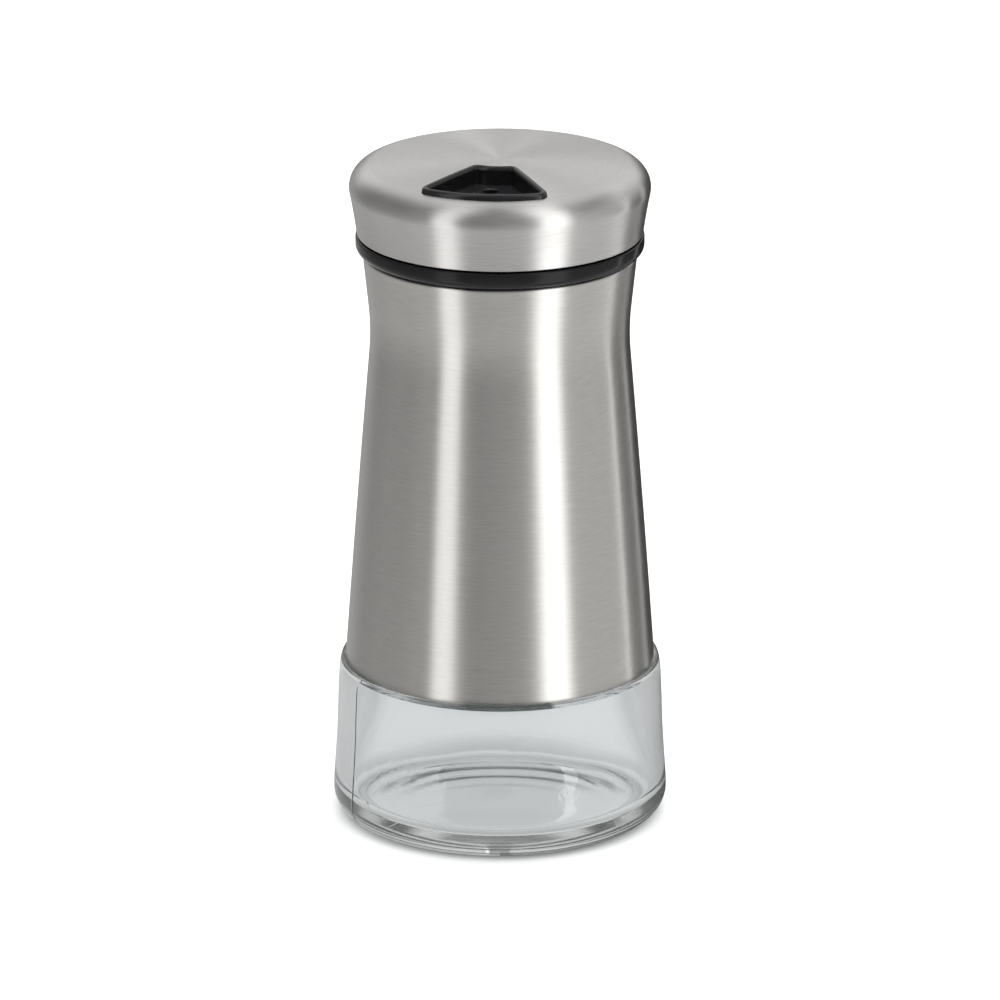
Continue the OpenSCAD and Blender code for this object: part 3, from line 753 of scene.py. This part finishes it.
def makeFrame():
    wide, proud, deep = window["frame"], window["proud"], window["deep"]
    turns = [math.radians(a) for a in range(0, 181, 12)]
    bead = [(-wide / 2 + wide / 2 * math.cos(a), proud * math.sin(a) ** window["bulge"]) for a in turns]
    section = [(x * mm, -z * mm, 0) for x, z in bead + [(-wide, -deep), (0, -deep)]]
    sectionLine = chainObject("frameSection", section, True)
    outline = [(x * mm, y * mm, domeHeight(x, y) * mm) for x, y in windowOutline(0)]
    piece = chainObject("windowFrame", outline, True)
    grow(piece, makeSweepTree(), {"Section": sectionLine, "Material": dialBlack})
    bpy.data.objects.remove(sectionLine)
    return finishMesh(piece, sharpAngle=50)


windowFrame = makeFrame()
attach(windowFrame, "dial")


# The collar that screws on the neck, with its ring, its snap groove, four pockets and two keyways
collar = {
    "bore": 22.1, "outer": 23.65, "mouth": 0.4, "top": collarTop, "topEdge": 0.15,
    "ring": (25.9, collarFoot, 108.95), "ringRound": 1.5, "ringTop": 0.35,  # radius, lowest, highest
    "shelf": (18.6, 117.55, 118.45), "shelfEdge": 0.2,                      # radius, lowest, highest
    "snap": (0.7, 111.15, 112.75), "snapSlope": 0.1,                        # depth, lowest, highest
    "thread": (107.0, 116.0), "threadDepth": -1.2,
    "pocket": (24.15, 1.2, 113.95), "stations": 4,                          # place, radius, lowest
    "keyway": (20.1, 22.95, 4.1), "keyTurn": 45}                            # from, to, width


def collarOutline():
    bore, outer, top, edge = collar["bore"], collar["outer"], collar["top"], collar["topEdge"]
    (r, low, high), bend, small = collar["ring"], collar["ringRound"], collar["ringTop"]
    (shelfR, shelfLow, shelfHigh), shelfEdge, mouth = collar["shelf"], collar["shelfEdge"], collar["mouth"]
    (snap, snapLow, snapHigh), slope = collar["snap"], collar["snapSlope"]
    return joined(
        [(shelfR, shelfLow)], linePoints((bore, shelfLow), (bore, low + mouth), 76), [(bore + mouth, low)],
        arcPoints(r - bend, low + bend, bend, -90, 0, 12),
        arcPoints(r - small, high - small, small, 0, 90, 6),
        [(outer, high), (outer, snapLow), (outer - snap, snapLow + slope)],
        [(outer - snap, snapHigh - slope), (outer, snapHigh)],
        [(outer, top - edge), (outer - edge, top), (bore + edge, top), (bore, top - edge)],
        [(bore, shelfHigh), (shelfR + shelfEdge, shelfHigh), (shelfR, shelfHigh - shelfEdge)])


def makeCollar():
    (_, shelfLow, shelfHigh), bore, cutTop = collar["shelf"], collar["bore"], collar["top"] + spare
    points = collarOutline()
    inBore = [runOut(z, *collar["thread"]) if abs(p - bore) < onFace and z < shelfLow else 0.0
              for p, z in points]
    piece = spin("collarShell", points, collarBlack, closed=True, shares={"thread": inBore}, **{
        "Thread Depth": collar["threadDepth"] * mm, "Thread Pitch": jar["pitch"] * mm, "Thread Phase": 0.5})
    place, nib, low = collar["pocket"]
    for i in range(collar["stations"]):
        turn = math.radians(windowTurn + 360 / collar["stations"] * i)
        middle = (place * math.cos(turn), place * math.sin(turn))
        cut(piece, prism("pocket", arcPoints(*middle, nib, 0, 360, 24)[:-1], low, cutTop))
    near, far, wide = collar["keyway"]
    block = [(near, -wide / 2), (far, -wide / 2), (far, wide / 2), (near, wide / 2)]
    for side in (0, 180):
        turn = math.radians(windowTurn + collar["keyTurn"] + side)
        cut(piece, prism("keyway", turned(block, turn), shelfHigh, cutTop))
    return finishMesh(piece)


collarShell = makeCollar()
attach(collarShell, "collar")
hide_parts("threaded_collar")


# The pivot screw, with a cross recess in its head
screw = {
    "head": (2.8, screwLow, 117.75), "headRound": 0.7, "headEdge": 0.1,  # radius, lowest, highest
    "recess": (0.75, 3.0, 0.9),                                          # width, length, depth
    "shank": 1.45, "tip": screwTip, "point": 0.7,
    "plain": (0.3, 0.8), "threadDepth": -0.25, "pitch": 1.0}             # no thread under head and at tip


def makeScrew():
    (r, low, high), edge, shank = screw["head"], screw["headEdge"], screw["shank"]
    tip, point = screw["tip"], screw["point"]
    points = joined(
        bendPoints((0, low), (r, low), (r, low + screw["headRound"]), 14),
        [(r, high - edge), (r - edge, high), (shank, high)],
        linePoints((shank, high), (shank, tip - point), 40), [(point, tip), (0, tip)])
    underHead, atTip = screw["plain"]
    onShank = [1.0 if high + underHead < z < tip - atTip else 0.0 for _, z in points]
    piece = spin("pivotScrew", points, plainSteel, shares={"thread": onShank}, **{
        "Thread Depth": screw["threadDepth"] * mm, "Thread Pitch": screw["pitch"] * mm})
    wide, long, deep = screw["recess"]
    for x, y in ((long / 2, wide / 2), (wide / 2, long / 2)):
        cut(piece, prism("recess", [(-x, -y), (x, -y), (x, y), (-x, y)], low - spare, low + deep))
    return finishMesh(piece)


pivotScrew = makeScrew()
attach(pivotScrew, "dial")
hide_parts("pivot_screw")

# What the frame already shows well enough only gets its material
plainPieces = {"sifter_disc": sifterBlack, "neck_seal": sealWhite, "pivot_washer": plainSteel}
for node, material in plainPieces.items():
    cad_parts[node].data.materials.clear()
    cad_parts[node].data.materials.append(material)
bpy.data.objects.remove(plainPath)
print("pieces made")


# The pale floor, with distances from the axis in metres
ground = {
    "size": 8.0, "tone": 0.97, "rough": 0.25, "shine": 0.35, "dim": 0.35,
    "underGlow": 0.68, "farGlow": 0.335, "far": (0.0305, 0.033),
    "contactShadow": (0.0265, 0.0295, 0.3),   # painted contact shadow: from, to, share of the tone right under the foot
    "heelShade": (0.0225, 0.025, 0.6),  # from, to, share of the glow outside
    "aside": (0.03, 0.05, 0.72)}        # from, to, share of the light far to the side


def makeFloor():
    shape = bmesh.new()
    bmesh.ops.create_grid(shape, x_segments=1, y_segments=1, size=ground["size"] / 2)
    mesh = bpy.data.meshes.new("floor")
    shape.to_mesh(mesh)
    shape.free()
    floor = addToScene("floor", mesh)
    tone = ground["tone"]
    material, tree, shader, output = makeMaterial("paleFloor", {
        "Roughness": ground["rough"], "Specular IOR Level": ground["shine"]})
    place = addNode(tree, "ShaderNodeTexCoord").outputs["Object"]
    reach = addNode(tree, "ShaderNodeVectorMath", {"operation": "LENGTH"}, {0: place}).outputs["Value"]
    near, far, darkest = ground["contactShadow"]
    # painted contact shadow: the floor's colour darkens towards the foot
    tree.links.new(ramp(tree, reach, tone * darkest, tone, near, far), shader.inputs["Base Color"])

    # through the glass the floor glows, less so away from the foot and where the jar stands on it
    glow = softRamp(tree, reach, ground["underGlow"], ground["farGlow"], *ground["far"])
    near, far, least = ground["heelShade"]
    glow = product(tree, glow, softRamp(tree, reach, 1.0, least, near, far))
    near, far, least = ground["aside"]
    shade = softRamp(tree, magnitude(tree, splitPlace(tree, place)[0]), 1.0, least, near, far)
    softer = addNode(tree, "ShaderNodeBsdfDiffuse", None, {"Color": product(tree, shade, ground["dim"])})
    fill = addNode(tree, "ShaderNodeEmission", None, {"Strength": product(tree, shade, glow)})
    filled = addNode(tree, "ShaderNodeAddShader", None, {0: softer.outputs[0], 1: fill.outputs[0]})
    path = addNode(tree, "ShaderNodeLightPath")
    either = addNode(tree, "ShaderNodeMixShader", None, {
        0: path.outputs["Is Transmission Ray"], 1: shader.outputs[0], 2: filled.outputs[0]})
    tree.links.new(either.outputs[0], output.inputs["Surface"])
    mesh.materials.append(material)
    floor.visible_glossy = False  # the world stands in for the floor in the steel
    floor.visible_shadow = False


# The studio by direction. Turns are in degrees from the front, and the other ranges are the x, y or z
# of a direction of length 1.
studio = {
    "walls": [(-180, 0.1), (-157, 0.36), (-125, 0.2), (-100, 0.24), (-82, 0.235), (-68, 0.3), (-55, 0.285),
              (-35, 0.16), (-20, 0.15), (0, 0.21), (14, 0.26), (28, 0.36), (55, 0.58), (86, 0.55),
              (98, 0.46), (105, 0.36), (113, 0.13), (122, 0.075), (180, 0.04)],
    "dusk": (113, 146, 0.86),           # from, to, how much of the walls' light it takes
    "table": (-0.52, -0.15, 0.72),      # from, to, tone
    "roof": (0.35, 0.6, 0.16),          # from, to, tone
    "back": 0.87, "backRise": (0.12, 0.26), "backAside": (0.46, 0.72),
    "backOver": (0.44, 0.5),            # in half turns from the front, over the top
    "through": (-0.5, 0.6, 0.4, 0.7),   # from, to, tone in front, tone behind
    "throughAside": (0.2, 0.65, 0.72),  # from, to, share that is left
    "ahead": 0.5, "cardMiddle": 0.31, "cardHalf": 0.19}  # where the two cards behind the glass are
softboxes = [  # middle and half width in degrees, how soft, lowest, highest, how bright
    (-43.5, 8.5, 3, -0.7, 0.96, 1.1), (43, 11, 5, -0.7, 0.96, 1.5), (0, 12, 3, 0.5, 0.72, 0.35),
    (111, 1.2, 0.6, -0.7, 0.1, 2.2), (139, 1.4, 0.8, -0.7, 0.1, 1.4), (122, 18, 6, 0.04, 0.62, 0.5)]
cards = [(-0.0443, 0.0468, 0.25), (0.0468, 0.0604, 1.5)]  # left, right, as x over y, and how bright


def colourStops(tree, value, stops):
    band = addNode(tree, "ShaderNodeValToRGB", None, {0: value})
    band.color_ramp.interpolation = "EASE"
    while len(band.color_ramp.elements) < len(stops):
        band.color_ramp.elements.new(0.5)
    for element, (place, tone) in zip(band.color_ramp.elements, stops):
        element.position = place
        element.color = (tone, tone, tone, 1)
    return band.outputs[0]


def mixed(tree, share, first, second):
    mix = addNode(tree, "ShaderNodeMix", {"data_type": "FLOAT"}, {0: share, 2: first, 3: second})
    return mix.outputs[0]


def roomMirrored(tree, x, y, z, blurred):  # walls, table, roof and card, and the softboxes in the steel
    front = product(tree, y, -1.0)
    turn = maths(tree, "DIVIDE", maths(tree, "ARCTAN2", x, front), math.tau)
    stops = [(0.5 + t / 360, tone) for t, tone in studio["walls"]]
    around = colourStops(tree, maths(tree, "ADD", turn, 0.5), stops)
    low, high, tone = studio["table"]
    walls = mixed(tree, softRamp(tree, z, 1.0, 0.0, low, high), around, tone)
    start, end, loss = studio["dusk"]
    walls = product(tree, walls, softRamp(tree, turn, 1.0, 1.0 - loss, start / 360, end / 360))
    low, high, tone = studio["roof"]
    room = mixed(tree, softRamp(tree, z, 0.0, 1.0, low, high), walls, tone)
    over = maths(tree, "DIVIDE", maths(tree, "ARCTAN2", z, front), math.pi)
    behind = product(
        tree, softRamp(tree, z, 0.0, 1.0, *studio["backRise"]),
        softRamp(tree, magnitude(tree, x), 1.0, 0.0, *studio["backAside"]),
        softRamp(tree, over, 0.0, 1.0, *studio["backOver"]))
    room = mixed(tree, behind, room, studio["back"])
    level = maths(tree, "SQRT", maths(tree, "SUBTRACT", 1.0, product(tree, z, z)))
    for middle, half, soft, low, high, bright in softboxes:
        off = product(tree, level, magnitude(tree, maths(tree, "SUBTRACT", turn, middle / 360)))
        across = softRamp(tree, off, bright, 0.0, (half - soft) / 360, (half + soft) / 360)
        upright = maths(tree, "COMPARE", z, (low + high) / 2, (high - low) / 2)
        room = maths(tree, "ADD", room, product(tree, across, upright, blurred))
    return room


def roomThrough(tree, x, y, z):  # what the glass lets through, with a dark card and a bright edge behind it
    near, far, front, back = studio["through"]
    through = mixed(tree, softRamp(tree, y, 0.0, 1.0, near, far), front, back)
    near, far, least = studio["throughAside"]
    through = product(tree, through, softRamp(tree, magnitude(tree, x), 1.0, least, near, far))
    aside = maths(tree, "DIVIDE", x, y)
    ahead = product(tree, maths(tree, "GREATER_THAN", y, studio["ahead"]),
                    maths(tree, "COMPARE", z, studio["cardMiddle"], studio["cardHalf"]))
    for left, right, tone in cards:
        across = maths(tree, "COMPARE", aside, (left + right) / 2, (right - left) / 2)
        through = mixed(tree, product(tree, across, ahead), through, tone)
    return through


# The studio round the shaker, as its steel and its glass see it; a plain white room for the camera
def makeWorld():
    world = bpy.data.worlds.new("studioWorld")
    world.use_nodes = True
    tree = world.node_tree
    tree.nodes.clear()
    way = splitPlace(tree, addNode(tree, "ShaderNodeTexCoord").outputs["Generated"])
    path = addNode(tree, "ShaderNodeLightPath").outputs
    blurred = maths(tree, "SUBTRACT", 1.0, path["Is Singular Ray"])  # the glass doesn't mirror the softboxes
    mirrored = roomMirrored(tree, *way, blurred)
    refracted = mixed(tree, path["Is Transmission Ray"], mirrored, roomThrough(tree, *way))
    seen = mixed(tree, path["Is Camera Ray"], refracted, 1.0)
    back = addNode(tree, "ShaderNodeBackground", None, {"Color": seen, "Strength": 1.0})
    addNode(tree, "ShaderNodeOutputWorld", None, {"Surface": back.outputs[0]})
    bpy.context.scene.world = world


sun = {"energy": 3.3, "angle": 34.0}  # a wide soft light from straight above


def makeLights():
    light = bpy.data.lights.new("overhead", "SUN")
    light.energy = sun["energy"]
    light.angle = math.radians(sun["angle"])
    overhead = addToScene("overhead", light)
    overhead.visible_glossy = False
    overhead.visible_transmission = False


# The camera's place in mm, its pitch in degrees below the horizon and its focal length in image widths
shot = {
    "distance": 1300.6, "height": 492.8, "pitch": 18.465, "focal": 7.5734,
    "sensor": 36.0, "clip": (0.01, 20)}


def makeCamera():
    lens = bpy.data.cameras.new("camera")
    lens.sensor_width = shot["sensor"]
    lens.lens = shot["focal"] * shot["sensor"]
    lens.clip_start, lens.clip_end = shot["clip"]
    camera = addToScene("camera", lens)
    camera.location = (0, -shot["distance"] * mm, shot["height"] * mm)
    camera.rotation_euler = (math.radians(90 - shot["pitch"]), 0, 0)
    bpy.context.scene.camera = camera


makeFloor()
makeWorld()
makeLights()
makeCamera()

scene = bpy.context.scene
scene.view_settings.view_transform = "Standard"
scene.cycles.caustics_reflective = False
scene.cycles.caustics_refractive = False
scene.cycles.sample_clamp_indirect = 6.0
scene.cycles.max_bounces = 28
scene.cycles.transmission_bounces = 24
scene.cycles.glossy_bounces = 24
print("studio made")
